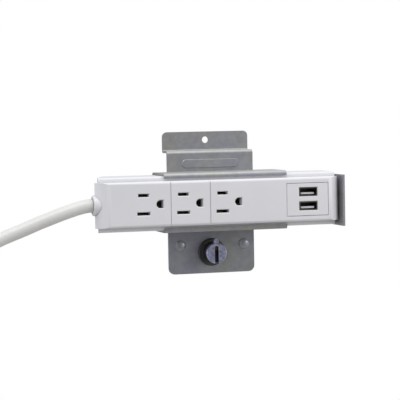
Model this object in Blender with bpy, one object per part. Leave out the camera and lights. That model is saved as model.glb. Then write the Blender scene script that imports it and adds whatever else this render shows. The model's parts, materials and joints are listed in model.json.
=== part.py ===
"""Three-outlet power strip with two USB ports, held in a sheet-metal cradle on a slatwall bracket.

Metres, +Z up, +X right along the strip, -Y towards the user. The origin is on the back face of the
bracket's front plate, level with the strip's centre line: the wall panel touches the plane y = 0.
"""

import math

import bmesh
import bpy
from mathutils import Vector

# General
GAP = 0.0003                 # clearance left between pieces that touch
SHEET = 0.0015               # bracket and cradle steel
BEND = 0.0016                # centre-line radius of a sheet bend

# Bracket plate
PLATE_HALF = 0.0323
PLATE_LOW = -0.0533
LEDGE_TOP = 0.0356
HOOK_DEPTH = 0.0117          # back face of the hook plate
HOOK_TOP = 0.0491
HOOK_HOLE = (0.0, 0.0431, 0.0024)      # x, z, radius
TAB_CORNER = 0.0045
HOOK_CORNER = 0.0035
DIMPLES = (-0.0235, 0.0245)
DIMPLE_Z = -0.0328
DIMPLE_RADIUS, DIMPLE_HEIGHT = 0.0040, 0.0015
DENT_MOUTH, DENT_FLOOR = 0.0024, 0.0010        # the hollow behind each dimple
BEAD = (0.0430, 0.0066, 0.0262)        # width, height and z of the stiffening bead
BEAD_RISE = 0.0005

# Cradle
CRADLE_LEFT = -0.0435
CRADLE_RIGHT = 0.0465
CRADLE_HALF = 0.0208         # outer half height
CRADLE_BACK = -SHEET - GAP
CRADLE_FRONT = -0.0350
LIP_EDGE = 0.0174
STOP_INNER = 0.0862
STOP_FRONT = -0.0425
STOP_LOW, STOP_HIGH = -0.0199, 0.0168
STOP_BEND_RUN = 0.0040       # flat length of the arm that the stop's bend takes over
ARM_LOW = -0.0180
RIVET_HEAD, RIVET_WAIST, RIVET_SINK = 0.0030, 0.0020, 0.0009
RIVETS = [(x, z) for x in (-0.0200, 0.0200) for z in (-0.0110, 0.0110)]

# Strip housing
TRAY_LEFT, TRAY_RIGHT = -0.0903, 0.0834
TRAY_HALF = 0.0190
TRAY_CORNER = 0.0018
TRAY_FRONT = -0.0332
TRAY_BACK = CRADLE_BACK - SHEET - GAP
TRAY_LEFT_BACK = -0.0810     # the left end slopes in towards the wall
TRAY_RIM = 0.0025            # straight front part of the sloping end
WALL = 0.0020
MOUTH_MARGIN, MOUTH_HALF = 0.0040, 0.0136      # the tray's open front
BOSS_RADIUS, BOSS_FRONT = 0.0040, -0.0197
SCREW_HOLE, HEAD_HOLE, HEAD_SEAT = 0.0019, 0.0034, -0.0080
COVER_LEFT, COVER_RIGHT = -0.0934, 0.0859
COVER_HALF = 0.0157
COVER_FRONT = -0.0411
COVER_BACK = TRAY_FRONT - GAP
COVER_END_RADIUS = 0.0105
COVER_EDGE_RADIUS = 0.0020
RIB_Z, RIB_X, RIB_BACK = (0.0121, 0.0133), (-0.0780, 0.0770), -0.0303
POST_RADIUS, POST_BACK = 0.0031, -0.0200
PILOT_RADIUS, PILOT_FRONT = 0.0018, -0.0340
SCREWS = [(x, z) for x in (-0.0725, 0.0300) for z in (-0.0095, 0.0095)]

# Outlets: x of the blades, blade spacing and offset of the earth hole (15 A, two blades and a round pin)
OUTLET_X = (-0.0601, -0.0316, -0.0031)
BLADE_HALF_PITCH = 0.00635
EARTH_OFFSET = 0.0119
SLOT_HEIGHT = 0.0022
HOT_SLOT = 0.0076
NEUTRAL_SLOT = 0.0092
EARTH_RADIUS = 0.0028
CHAMFER = 0.0005
SEAM_X = (-0.0406, -0.0121)
SEAM_HALF, SEAM_DEPTH = 0.0003, 0.0007
WELLS_X, WELLS_HALF = (-0.0660, 0.0130), 0.0105
WELL_DEPTH = 0.0062          # the slots' walls, measured from the face
BLOCK_FRONT = COVER_FRONT + WELL_DEPTH + GAP
BLOCK_X, BLOCK_BACK, BLOCK_HALF = (-0.0660, 0.0160), -0.0270, 0.0108
POCKET_HALF_HEIGHT, EARTH_POCKET = 0.0027, 0.0035
CONTACT_FRONT = -0.0335      # tips of the spring leaves
BUS_FRONT, BUS_BACK, BUS_HALF = -0.0266, -0.0258, 0.0020
LEAF_HALF, LEAF_THICK = 0.0022, 0.0005
BLADE_SPREAD, EARTH_SPREAD = 0.0011, 0.0019    # half the space between a pair of leaves

# USB ports
USB_X = 0.0606
USB_HALF_PITCH = 0.0050
USB_Z = 0.0003
USB_SHELL = (0.0131, 0.0057)
USB_WALL = 0.00035
USB_FACE = (0.0445, 0.0754, 0.0115)    # left, right and half height of the face plate
TONGUE_HALF = (0.0050, 0.0007)         # half width and half thickness
TONGUE_DROP = 0.0011                   # below the middle of its shell
TONGUE_INSET = 0.0024                  # tip's distance behind the cover's face
ROOT_HALF, ROOT_FRONT = (0.0059, 0.0022), -0.0300
SHELL_BACK = -0.0261
BOARD_X, BOARD_Y, BOARD_HALF = (0.0465, 0.0735), (-0.0258, -0.0242), 0.0125
TRANSFORMER_X, TRANSFORMER_Y, TRANSFORMER_HALF = (0.0520, 0.0680), (-0.0239, -0.0110), 0.0075

# Cam lock
CAM_X, CAM_Z = -0.0002, -0.0380
CAM_FACE = -0.0146           # front of the knob
KNOB_RADIUS, KNOB_THICK = 0.0075, 0.0026
CAM_BORE = 0.0031
SLEEVE_RADIUS, SLEEVE_BACK = 0.0042, 0.0092
LOBE_FRONT = HOOK_DEPTH - SHEET        # the lobe grips the same thickness of panel as the hook
LOBE_BACK = LOBE_FRONT + 0.0018
SQUARE_HALF = 0.0019
FLANGE_RADIUS = 0.0100
NECK_RADIUS = 0.0070
TAB_HALF, TAB_REACH = 0.0019, 0.0104
COIN_HALF, COIN_TOP, COIN_DEPTH = 0.0014, 0.0052, 0.0021
LOBE_HUB, LOBE_TIP, LOBE_REACH = 0.0055, 0.0050, 0.0108
SCREW_SHANK, SCREW_HEAD = 0.0012, 0.0034

# Cord
CORD_RADIUS = 0.0047
EXIT_X, EXIT_Y = -0.0943, -0.0315
COLLAR_RADIUS, COLLAR_BACK = 0.0073, -0.0845
GROOVE_RADIUS, GROOVE_X = 0.0057, (-0.0911, -0.0859)    # takes the tray's sloping end wall
GROOVE_FRONT = TRAY_FRONT - GAP
STUB_END = -0.0760
CLAMP_X = (-0.0796, -0.0771)
CLAMP_OUTER, CLAMP_INNER = 0.0067, CORD_RADIUS + GAP
CLAMP_FOOT = -0.0240
CLAMP_SEAT_HALF = 0.0085
WIRE_RADIUS = 0.0010
LEAD_ROUTE = (
    (-0.0946, -0.0315, 0.0000),
    (-0.0972, -0.0315, -0.0001),
    (-0.1035, -0.0315, -0.0013),
    (-0.1105, -0.0316, -0.0033),
    (-0.1180, -0.0318, -0.0057),
    (-0.1240, -0.0321, -0.0078),
    (-0.1310, -0.0324, -0.0102),
    (-0.1380, -0.0328, -0.0129),
    (-0.1455, -0.0332, -0.0157),
    (-0.1525, -0.0336, -0.0182),
    (-0.1590, -0.0341, -0.0207),
    (-0.1655, -0.0347, -0.0236),
    (-0.1712, -0.0353, -0.0275),
    (-0.1755, -0.0358, -0.0319),
    (-0.1790, -0.0363, -0.0368),
)
COIL_CENTRE = Vector((-0.2402, -0.0280, -0.0620))
COIL_INNER, COIL_OUTER = 0.0410, 0.0602
COIL_HALF_WIDTH = 0.0143
COIL_CORNER = 0.0040
TAIL_X, TAIL_Y = COIL_CENTRE.x + 0.0553, COIL_CENTRE.y
TAIL_TOP = -0.0970
TIE_CLEAR, TIE_THICK, TIE_HALF = 0.0008, 0.0012, 0.0060

# Plug: z of its cord end, relief end and face, then half sizes across X and Y
PLUG_TOP = -0.1110
RELIEF_END = PLUG_TOP - 0.0240
PLUG_FACE = PLUG_TOP - 0.0480
WAIST_HALF, WAIST_CORNER = (0.0095, 0.0090), 0.0050
FACE_X, FACE_Y, FACE_CORNER = 0.0128, (-0.0108, 0.0120), 0.0055
BLADE_HALF = (0.00075, 0.0032)
BLADE_TIP_HALF = (0.0003, 0.0026)
BLADE_LENGTH, BLADE_BEVEL, BLADE_Y = 0.0160, 0.0010, -0.0042
PIN_RADIUS, PIN_LENGTH, PIN_Y = 0.0024, 0.0190, 0.0077


# ---------------------------------------------------------------- tools

def clear_scene():
    for old in list(bpy.data.objects):
        bpy.data.objects.remove(old, do_unlink=True)


def material(name, colour, roughness, metallic=0.0):
    made = bpy.data.materials.new(name)
    made.use_nodes = True
    shader = made.node_tree.nodes["Principled BSDF"]
    shader.inputs["Base Color"].default_value = (*colour, 1.0)
    shader.inputs["Roughness"].default_value = roughness
    shader.inputs["Metallic"].default_value = metallic
    return made


def finish(name, bm, mat):
    """Turns a bmesh into a named object, shaded smooth except at its real edges."""
    bmesh.ops.recalc_face_normals(bm, faces=bm.faces)
    mesh = bpy.data.meshes.new(name)
    bm.to_mesh(mesh)
    bm.free()
    mesh.materials.append(mat)
    mesh.shade_smooth()
    mesh.set_sharp_from_angle(angle=math.radians(32))
    made = bpy.data.objects.new(name, mesh)
    bpy.context.scene.collection.objects.link(made)
    return made


def place(axis, u, v, along):
    """A point from its two coordinates across an axis and one along it."""
    if axis == "X":
        return Vector((along, u, v))
    if axis == "Y":
        return Vector((u, along, v))
    return Vector((u, v, along))


def loft(name, sections, axis, mat):
    """A closed solid through outlines that have the same number of points: (position, outline) pairs."""
    bm = bmesh.new()
    rings = [[bm.verts.new(place(axis, u, v, along)) for u, v in outline] for along, outline in sections]
    bm.faces.new(rings[0])
    bm.faces.new(rings[-1])
    for first, second in zip(rings, rings[1:]):
        for i in range(len(first)):
            j = (i + 1) % len(first)
            bm.faces.new((first[i], first[j], second[j], second[i]))
    return finish(name, bm, mat)


def prism(name, outline, axis, low, high, mat):
    return loft(name, ((low, outline), (high, outline)), axis, mat)


def box(name, x, y, z, mat):
    return prism(name, rectangle(*x, *y), "Z", z[0], z[1], mat)


def rectangle(u0, u1, v0, v1):
    return [(u0, v0), (u1, v0), (u1, v1), (u0, v1)]


def circle(u, v, radius, steps=32):
    turn = 2 * math.pi / steps
    return [(u + radius * math.cos(i * turn), v + radius * math.sin(i * turn)) for i in range(steps)]


def rounded(points, radii, steps=6):
    """An outline whose corners are arcs of the given radii."""
    outline = []
    count = len(points)
    for i, (point, radius) in enumerate(zip(points, radii)):
        here = Vector(point)
        before = (Vector(points[i - 1]) - here).normalized()
        after = (Vector(points[(i + 1) % count]) - here).normalized()
        if radius == 0:
            outline.append(tuple(here))
            continue
        half = before.angle(after) / 2
        centre = here + (before + after).normalized() * radius / math.sin(half)
        start = here + before * radius / math.tan(half) - centre
        end = here + after * radius / math.tan(half) - centre
        sweep = start.angle_signed(end)
        for k in range(steps + 1):
            turned = -sweep * k / steps
            c, s = math.cos(turned), math.sin(turned)
            outline.append(tuple(centre + Vector((c * start.x - s * start.y, s * start.x + c * start.y))))
    return outline


def sheet_outline(path, thickness, radius=BEND, steps=6):
    """The cross-section of bent sheet: the path is its centre line, and corners become bends."""
    line = rounded_path(path, radius, steps)
    left, right = [], []
    for i, point in enumerate(line):
        ahead = line[min(i + 1, len(line) - 1)] - point
        behind = point - line[max(i - 1, 0)]
        along = (ahead.normalized() if ahead.length else Vector((0, 0)))
        along = (along + (behind.normalized() if behind.length else Vector((0, 0)))).normalized()
        side = Vector((-along.y, along.x)) * thickness / 2
        left.append(tuple(point + side))
        right.append(tuple(point - side))
    return left + right[::-1]


def rounded_path(path, radius, steps):
    """An open path whose inner corners are arcs."""
    points = [Vector(p) for p in path]
    line = [points[0]]
    for before, here, after in zip(points, points[1:], points[2:]):
        back = (before - here).normalized()
        on = (after - here).normalized()
        half = back.angle(on) / 2
        centre = here + (back + on).normalized() * radius / math.sin(half)
        start = here + back * radius / math.tan(half) - centre
        end = here + on * radius / math.tan(half) - centre
        sweep = start.angle_signed(end)
        for k in range(steps + 1):
            turned = -sweep * k / steps
            c, s = math.cos(turned), math.sin(turned)
            line.append(centre + Vector((c * start.x - s * start.y, s * start.x + c * start.y)))
    line.append(points[-1])
    return line


def lathe(name, profile, axis, centre, mat, steps=40):
    """A turned solid. The profile is (radius, position along the axis), closed on itself.

    A flat end is a point of radius 0 at the same position as its rim, and becomes one face.
    """
    bm = bmesh.new()
    rings = []
    for radius, position in profile:
        spots = circle(*centre, radius, steps) if radius else [centre]
        rings.append([bm.verts.new(place(axis, u, v, position)) for u, v in spots])
    positions = [position for _, position in profile]
    pairs = zip(rings, rings[1:] + rings[:1], positions, positions[1:] + positions[:1])
    for first, second, start, end in pairs:
        if len(first) == 1 and len(second) == 1:
            continue
        if start == end and 1 in (len(first), len(second)):
            bm.faces.new(max(first, second, key=len))
            continue
        for i in range(steps):
            j = (i + 1) % steps
            corners = (first[i % len(first)], first[j % len(first)],
                       second[j % len(second)], second[i % len(second)])
            bm.faces.new(list(dict.fromkeys(corners)))
    loose = [vert for vert in bm.verts if not vert.link_faces]
    bmesh.ops.delete(bm, geom=loose, context="VERTS")
    return finish(name, bm, mat)


def combine(target, other, operation):
    """Joins, cuts or intersects target with a helper, which is then hidden."""
    change = target.modifiers.new(operation.lower(), "BOOLEAN")
    change.operation = operation
    change.solver = "EXACT"
    change.object = other
    other.hide_render = True
    other.display_type = "WIRE"
    other.name = "helper_" + other.name
    return target


def cut(target, other):
    return combine(target, other, "DIFFERENCE")


def join(target, other):
    return combine(target, other, "UNION")


def smooth_route(points, spacing):
    """Points at an even spacing along a Catmull-Rom curve through the route's own points."""
    knots = [Vector(p) for p in points]
    knots = [2 * knots[0] - knots[1]] + knots + [2 * knots[-1] - knots[-2]]
    fine = []
    for a, b, c, d in zip(knots, knots[1:], knots[2:], knots[3:]):
        for k in range(20):
            t = k / 20
            fine.append(0.5 * (2 * b + (c - a) * t + (2 * a - 5 * b + 4 * c - d) * t ** 2
                               + (3 * b - a - 3 * c + d) * t ** 3))
    fine.append(knots[-2])
    length = sum((q - p).length for p, q in zip(fine, fine[1:]))
    steps = max(2, round(length / spacing))
    wanted = [length * i / steps for i in range(steps)]
    route, walked, i = [], 0.0, 0
    for target in wanted:
        while walked + (fine[i + 1] - fine[i]).length < target:
            walked += (fine[i + 1] - fine[i]).length
            i += 1
        step = fine[i + 1] - fine[i]
        route.append(fine[i] + step * (target - walked) / step.length)
    route.append(fine[-1])
    return route


def tube(name, points, radius, mat, sides=2):
    """A round cable along the points, with closed ends."""
    curve = bpy.data.curves.new(name, "CURVE")
    curve.dimensions = "3D"
    curve.bevel_depth = radius
    curve.bevel_resolution = sides
    curve.use_fill_caps = True
    spline = curve.splines.new("POLY")
    spline.points.add(len(points) - 1)
    for slot, point in zip(spline.points, points):
        slot.co = (*point, 1.0)
    curve.materials.append(mat)
    made = bpy.data.objects.new(name, curve)
    bpy.context.scene.collection.objects.link(made)
    return made


# ---------------------------------------------------------------- materials

def make_materials():
    return {
        "bracket_paint": material("bracket_paint", (0.33, 0.34, 0.35), 0.45, 0.6),
        "zinc": material("zinc", (0.62, 0.65, 0.72), 0.28, 1.0),
        "dark_zinc": material("dark_zinc", (0.20, 0.20, 0.19), 0.45, 1.0),
        "steel": material("steel", (0.55, 0.55, 0.56), 0.35, 1.0),
        "white_plastic": material("white_plastic", (0.80, 0.80, 0.82), 0.38),
        "dark_insulator": material("dark_insulator", (0.03, 0.03, 0.035), 0.6),
        "contact_brass": material("contact_brass", (0.75, 0.56, 0.25), 0.3, 1.0),
        "usb_shell_steel": material("usb_shell_steel", (0.60, 0.60, 0.58), 0.25, 1.0),
        "usb_tongue": material("usb_tongue", (0.78, 0.80, 0.84), 0.4),
        "board_green": material("board_green", (0.05, 0.20, 0.09), 0.5),
        "cord_jacket": material("cord_jacket", (0.84, 0.83, 0.81), 0.42),
        "wire_white": material("wire_white", (0.85, 0.85, 0.84), 0.45),
        "wire_black": material("wire_black", (0.02, 0.02, 0.02), 0.45),
        "wire_green": material("wire_green", (0.03, 0.25, 0.07), 0.45),
        "tie_fabric": material("tie_fabric", (0.10, 0.10, 0.11), 0.9),
        "blade_nickel": material("blade_nickel", (0.70, 0.68, 0.62), 0.25, 1.0),
    }


# ---------------------------------------------------------------- bracket and cradle

def rivet_profile(grow):
    """A flush rivet: waisted in the middle, spread at both faces. grow makes the hole for it."""
    front, back, over = -2 * SHEET - GAP, 0.0, grow * 4
    wide, narrow = RIVET_HEAD + grow, RIVET_WAIST + grow
    return [(0, front - over), (wide, front - over), (wide, front), (narrow, front + RIVET_SINK),
            (narrow, back - RIVET_SINK), (wide, back), (wide, back + over), (0, back + over)]


def cut_rivet_holes(target):
    for x, z in RIVETS:
        cut(target, lathe("rivet_hole", rivet_profile(GAP), "Y", (x, z), target.data.materials[0], 24))


def dome_profile(steps=5):
    """A dimple's rounded front, as a profile that ends inside the sheet."""
    quarter = [math.radians(90 * k / steps) for k in range(steps + 1)]
    rim = [(DIMPLE_RADIUS * math.sin(a), -SHEET - DIMPLE_HEIGHT * math.cos(a)) for a in quarter]
    sunk = -SHEET + GAP
    return rim + [(DIMPLE_RADIUS, sunk), (0, sunk)]


def build_bracket(mats):
    paint = mats["bracket_paint"]
    half = SHEET / 2
    path = [(-half, PLATE_LOW), (-half, LEDGE_TOP - half), (HOOK_DEPTH - half, LEDGE_TOP - half),
            (HOOK_DEPTH - half, HOOK_TOP)]
    plate = prism("bracket_plate", sheet_outline(path, SHEET), "X", -PLATE_HALF, PLATE_HALF, paint)
    corners = rectangle(-PLATE_HALF, PLATE_HALF, PLATE_LOW, HOOK_TOP)
    face = rounded(corners, (TAB_CORNER, TAB_CORNER, HOOK_CORNER, HOOK_CORNER))
    combine(plate, prism("plate_face", face, "Y", -0.01, 0.02, paint), "INTERSECT")
    x, z, radius = HOOK_HOLE
    cut(plate, prism("hook_hole", circle(x, z, radius, 24), "Y", 0.005, 0.02, paint))
    cut(plate, prism("cam_hole", circle(CAM_X, CAM_Z, SLEEVE_RADIUS + GAP, 32), "Y", -0.005, 0.004, paint))
    for x in DIMPLES:
        join(plate, lathe("dimple", dome_profile(), "Y", (x, DIMPLE_Z), paint, 24))
        dent = [(0, -SHEET - 0.0002), (DENT_FLOOR, -SHEET), (DENT_MOUTH, 0.0002), (0, 0.0004)]
        cut(plate, lathe("dent", dent, "Y", (x, DIMPLE_Z), paint, 24))
    join_bead(plate, paint)
    cut_rivet_holes(plate)
    return plate


def join_bead(plate, paint):
    """A low pressed bead with round ends across the upper plate."""
    width, height, z = BEAD

    def outline(inset):
        across, up = width / 2 - inset, height / 2 - inset
        return rounded(rectangle(-across, across, z - up, z + up), [height / 2.01 - inset] * 4)

    sections = ((-SHEET - BEAD_RISE, outline(BEAD_RISE)), (-SHEET + GAP, outline(0)))
    join(plate, loft("bead", sections, "Y", paint))


def build_cradle(mats):
    """The channel that wraps the strip, the arm along its back and the end stop."""
    paint = mats["bracket_paint"]
    half = SHEET / 2
    back, front, high = CRADLE_BACK - half, CRADLE_FRONT + half, CRADLE_HALF - half
    path = [(front, -LIP_EDGE), (front, -high), (back, -high), (back, high), (front, high), (front, LIP_EDGE)]
    cradle = prism("cradle_channel", sheet_outline(path, SHEET), "X", CRADLE_LEFT, CRADLE_RIGHT, paint)
    arm_end = STOP_INNER - STOP_BEND_RUN
    join(cradle, box("arm", (0.0, arm_end), (CRADLE_BACK - SHEET, CRADLE_BACK), (ARM_LOW, STOP_HIGH), paint))
    stop_path = [(arm_end - STOP_BEND_RUN, back), (STOP_INNER + half, back), (STOP_INNER + half, STOP_FRONT)]
    join(cradle, prism("stop", sheet_outline(stop_path, SHEET), "Z", STOP_LOW, STOP_HIGH, paint))
    cut_rivet_holes(cradle)
    return cradle


def build_rivets(mats):
    front, back = -2 * SHEET - GAP, 0.0
    profile = [(0, front), (RIVET_HEAD, front), (RIVET_WAIST, front + RIVET_SINK),
               (RIVET_WAIST, back - RIVET_SINK), (RIVET_HEAD, back), (0, back)]
    for number, (x, z) in enumerate(RIVETS, 1):
        lathe(f"cradle_rivet_{number}", profile, "Y", (x, z), mats["steel"], 24)


# ---------------------------------------------------------------- cam lock

def build_cam_lock(mats):
    """The quarter-turn lock: a bushing through the plate, a knob, and a lobe behind the panel's lip."""
    zinc, steel = mats["zinc"], mats["steel"]
    centre = (CAM_X, CAM_Z)
    seat = -SHEET - GAP
    neck = CAM_FACE + KNOB_THICK + GAP
    bushing = [(CAM_BORE, SLEEVE_BACK), (SLEEVE_RADIUS, SLEEVE_BACK), (SLEEVE_RADIUS, seat),
               (FLANGE_RADIUS, seat),
               (FLANGE_RADIUS, seat - 0.0008), (FLANGE_RADIUS - 0.0004, seat - 0.0012),
               (NECK_RADIUS + 0.0002, seat - 0.0014), (NECK_RADIUS, neck),
               (CAM_BORE, neck)]
    lathe("cam_bushing", bushing, "Y", centre, mats["dark_zinc"], 48)
    ring_bore, ring_edge = SLEEVE_RADIUS + GAP, 0.0056
    ring = [(ring_bore, GAP), (ring_edge, GAP), (ring_edge, 0.0011), (ring_bore, 0.0011)]
    lathe("cam_retaining_ring", ring, "Y", centre, steel, 32)
    build_cam_knob(zinc, centre)
    front, back = SLEEVE_BACK + GAP, LOBE_FRONT - GAP
    washer = [(0.0032, front), (0.0050, front), (0.0050, back), (0.0032, back)]
    lathe("cam_spring_washer", washer, "Y", centre, steel, 32)
    build_cam_lobe(steel)
    build_cam_screw(steel, centre)


def build_cam_knob(zinc, centre):
    """The round head with its pointer tab and coin slot, on the spindle that carries the lobe."""
    back = CAM_FACE + KNOB_THICK
    head = [(0, CAM_FACE), (KNOB_RADIUS - 0.0005, CAM_FACE), (KNOB_RADIUS, CAM_FACE + 0.0005),
            (KNOB_RADIUS, back - 0.0003), (KNOB_RADIUS - 0.0003, back), (0, back)]
    knob = lathe("cam_knob", head, "Y", centre, zinc, 48)
    tab = rounded(rectangle(CAM_X - TAB_HALF, CAM_X + TAB_HALF, CAM_Z + 0.0040, CAM_Z + TAB_REACH),
                  (0, 0, TAB_HALF - 0.0001, TAB_HALF - 0.0001))
    join(knob, prism("tab", tab, "Y", CAM_FACE + 0.0004, back - 0.0002, zinc))
    slot = rounded(rectangle(CAM_X - COIN_HALF, CAM_X + COIN_HALF, CAM_Z - 0.0100, CAM_Z + COIN_TOP),
                   (0, 0, 0.0010, 0.0010))
    cut(knob, prism("coin_slot", slot, "Y", CAM_FACE - 0.001, CAM_FACE + COIN_DEPTH, zinc))
    radius, end = CAM_BORE - GAP, LOBE_FRONT - GAP
    spindle = [(0, back - 0.0005), (radius, back - 0.0005), (radius, end), (0, end)]
    join(knob, lathe("spindle", spindle, "Y", centre, zinc, 32))
    square = square_outline(SQUARE_HALF)
    join(knob, prism("square_end", square, "Y", end - 0.0005, LOBE_BACK + 0.0001, zinc))
    bore = [(0, 0.0020), (0.0015, 0.0020), (0.0015, LOBE_BACK + 0.002), (0, LOBE_BACK + 0.002)]
    cut(knob, lathe("screw_bore", bore, "Y", centre, zinc, 16))
    return knob


def square_outline(half):
    return rectangle(CAM_X - half, CAM_X + half, CAM_Z - half, CAM_Z + half)


def build_cam_lobe(steel):
    """The flat lobe behind the panel's lip: at rest it points up, locked."""
    outline = [(CAM_X + LOBE_HUB * math.cos(a), CAM_Z + LOBE_HUB * math.sin(a))
               for a in (math.radians(180 + 180 * k / 12) for k in range(13))]
    outline += [(CAM_X + LOBE_TIP * math.cos(a), CAM_Z + LOBE_REACH + LOBE_TIP * math.sin(a))
                for a in (math.radians(180 * k / 10) for k in range(11))]
    lobe = prism("cam_lobe", outline, "Y", LOBE_FRONT, LOBE_BACK, steel)
    hole = square_outline(SQUARE_HALF + GAP)
    cut(lobe, prism("lobe_hole", hole, "Y", LOBE_FRONT - 0.001, LOBE_BACK + 0.001, steel))
    return lobe


def build_cam_screw(steel, centre):
    seat = LOBE_BACK + 0.0001 + GAP
    shape = [(0, 0.0030), (SCREW_SHANK, 0.0030), (SCREW_SHANK, seat), (SCREW_HEAD, seat),
             (SCREW_HEAD, seat + 0.0015), (SCREW_HEAD - 0.0006, seat + 0.0023), (0, seat + 0.0025)]
    screw = lathe("cam_screw", shape, "Y", centre, steel, 28)
    cut(screw, box("cam_screw_slot", (CAM_X - 0.004, CAM_X + 0.004), (seat + 0.0016, seat + 0.0040),
                   (CAM_Z - 0.0004, CAM_Z + 0.0004), steel))
    return screw


# ---------------------------------------------------------------- housing

def tray_plan(inset):
    """The tray seen from above, moved in by inset."""
    left, right = TRAY_LEFT + inset, TRAY_RIGHT - inset
    rim = TRAY_FRONT + TRAY_RIM
    return [(left, TRAY_FRONT + inset), (right, TRAY_FRONT + inset), (right, TRAY_BACK - inset),
            (TRAY_LEFT_BACK + inset, TRAY_BACK - inset), (left, rim)]


def build_tray(mats):
    plastic = mats["white_plastic"]
    section = rounded([(TRAY_FRONT, -TRAY_HALF), (TRAY_FRONT, TRAY_HALF),
                       (TRAY_BACK, TRAY_HALF), (TRAY_BACK, -TRAY_HALF)], [TRAY_CORNER] * 4, 5)
    tray = prism("base_tray", section, "X", TRAY_LEFT - 0.01, TRAY_RIGHT + 0.01, plastic)
    combine(tray, prism("tray_plan", tray_plan(0), "Z", -0.03, 0.03, plastic), "INTERSECT")
    inner = TRAY_HALF - WALL
    cut(tray, prism("tray_hollow", tray_plan(WALL), "Z", -inner, inner, plastic))
    cut(tray, box("tray_mouth", (TRAY_LEFT + MOUTH_MARGIN, TRAY_RIGHT - MOUTH_MARGIN),
                  (TRAY_FRONT - 0.005, TRAY_FRONT + 0.006), (-MOUTH_HALF, MOUTH_HALF), plastic))
    floor = TRAY_BACK - WALL / 2
    for x, z in SCREWS:
        boss = [(0, BOSS_FRONT), (BOSS_RADIUS, BOSS_FRONT), (BOSS_RADIUS + 0.0002, floor), (0, floor)]
        join(tray, lathe("tray_boss", boss, "Y", (x, z), plastic, 24))
    join(tray, box("clamp_seat", CLAMP_X, (CLAMP_FOOT + GAP, floor),
                   (-CLAMP_SEAT_HALF, CLAMP_SEAT_HALF), plastic))
    for x, z in SCREWS:
        bore = [(0, -0.021), (SCREW_HOLE, -0.021), (SCREW_HOLE, HEAD_SEAT), (HEAD_HOLE, HEAD_SEAT),
                (HEAD_HOLE, 0), (0, 0)]
        cut(tray, lathe("tray_bore", bore, "Y", (x, z), plastic, 24))
    radius, outside, inside = GROOVE_RADIUS + GAP, -0.0970, -0.0830
    notch = [(0, outside), (radius, outside), (radius, inside), (0, inside)]
    cut(tray, lathe("tray_notch", notch, "X", (EXIT_Y, 0), plastic, 32))
    return tray


def cover_shape(name, inset, plastic):
    """The cover's outer shape, or its hollow: long edges rounded, both ends rolled off."""
    half, front = COVER_HALF - inset, COVER_FRONT + inset
    edge = COVER_EDGE_RADIUS - inset / 2
    back = COVER_BACK + inset
    section = rounded([(front, -half), (front, half), (back, half), (back, -half)], (edge, edge, 0, 0), 6)
    shape = prism(name, section, "X", COVER_LEFT - 0.01, COVER_RIGHT + 0.01, plastic)
    left, right = COVER_LEFT + inset, COVER_RIGHT - inset
    end = COVER_END_RADIUS - inset
    plan = rounded([(left, front), (right, front), (right, back + 0.004), (left, back + 0.004)],
                   (end, end, 0, 0), 10)
    return combine(shape, prism(name + "_plan", plan, "Z", -0.03, 0.03, plastic), "INTERSECT")


def slot_cutter(name, outline, plastic):
    """A hole through the face with a 45 degree chamfer round its mouth. outline(grow) gives its shape."""
    sections = ((COVER_FRONT - CHAMFER, outline(2 * CHAMFER)), (COVER_FRONT + CHAMFER, outline(0)),
                (COVER_FRONT + WELL_DEPTH + 0.001, outline(0)))
    return loft(name, sections, "Y", plastic)


def blade_outline(x, z, width, grow):
    u, v = width / 2 + grow, SLOT_HEIGHT / 2 + grow
    return rectangle(x - u, x + u, z - v, z + v)


def earth_outline(x, grow):
    """Round on the left, flat on the right."""
    centre, radius = x + EARTH_OFFSET, EARTH_RADIUS + grow
    arc = [(centre + radius * math.cos(a), radius * math.sin(a))
           for a in (math.radians(90 + 180 * k / 12) for k in range(13))]
    flat = centre + 0.0023 + grow
    return arc + [(flat, -radius), (flat, radius)]


def outlet_outlines(x):
    """The hot slot, the neutral slot and the earth hole, each as a function of how far it is grown."""
    return (lambda grow: blade_outline(x, BLADE_HALF_PITCH, HOT_SLOT, grow),
            lambda grow: blade_outline(x, -BLADE_HALF_PITCH, NEUTRAL_SLOT, grow),
            lambda grow: earth_outline(x, grow))


def build_cover(mats):
    plastic = mats["white_plastic"]
    cover = cover_shape("front_cover", 0, plastic)
    cut(cover, cover_shape("cover_hollow", WALL, plastic))
    floor = COVER_FRONT + WALL / 2
    for side in (-1, 1):
        low, high = sorted(side * z for z in RIB_Z)
        join(cover, box("cover_rib", RIB_X, (floor, RIB_BACK), (low, high), plastic))
    for x, z in SCREWS:
        post = [(0, floor), (POST_RADIUS, floor), (POST_RADIUS - 0.0001, POST_BACK), (0, POST_BACK)]
        join(cover, lathe("cover_post", post, "Y", (x, z), plastic, 24))
    for x, z in SCREWS:
        end = POST_BACK + 0.001
        pilot = [(0, PILOT_FRONT), (PILOT_RADIUS, PILOT_FRONT), (PILOT_RADIUS, end), (0, end)]
        cut(cover, lathe("cover_pilot", pilot, "Y", (x, z), plastic, 16))
    join(cover, box("outlet_wells", WELLS_X, (floor, COVER_FRONT + WELL_DEPTH),
                    (-WELLS_HALF, WELLS_HALF), plastic))
    for x in OUTLET_X:
        for outline in outlet_outlines(x):
            cut(cover, slot_cutter("slot", outline, plastic))
    for x in SEAM_X:
        cut(cover, box("seam", (x - SEAM_HALF, x + SEAM_HALF), (COVER_FRONT - 0.001, COVER_FRONT + SEAM_DEPTH),
                       (-0.02, 0.02), plastic))
    left, right, half = USB_FACE
    window = rectangle(left - GAP, right + GAP, -half - GAP, half + GAP)
    cut(cover, prism("usb_window", window, "Y", COVER_FRONT - 0.002, COVER_FRONT + WALL + 0.0005, plastic))
    radius, outside, inside = COLLAR_RADIUS + GAP, -0.0970, COLLAR_BACK - 0.0005
    hole = [(0, outside), (radius, outside), (radius, inside), (0, inside)]
    cut(cover, lathe("cover_notch", hole, "X", (EXIT_Y, 0), plastic, 36))
    return cover


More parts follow.
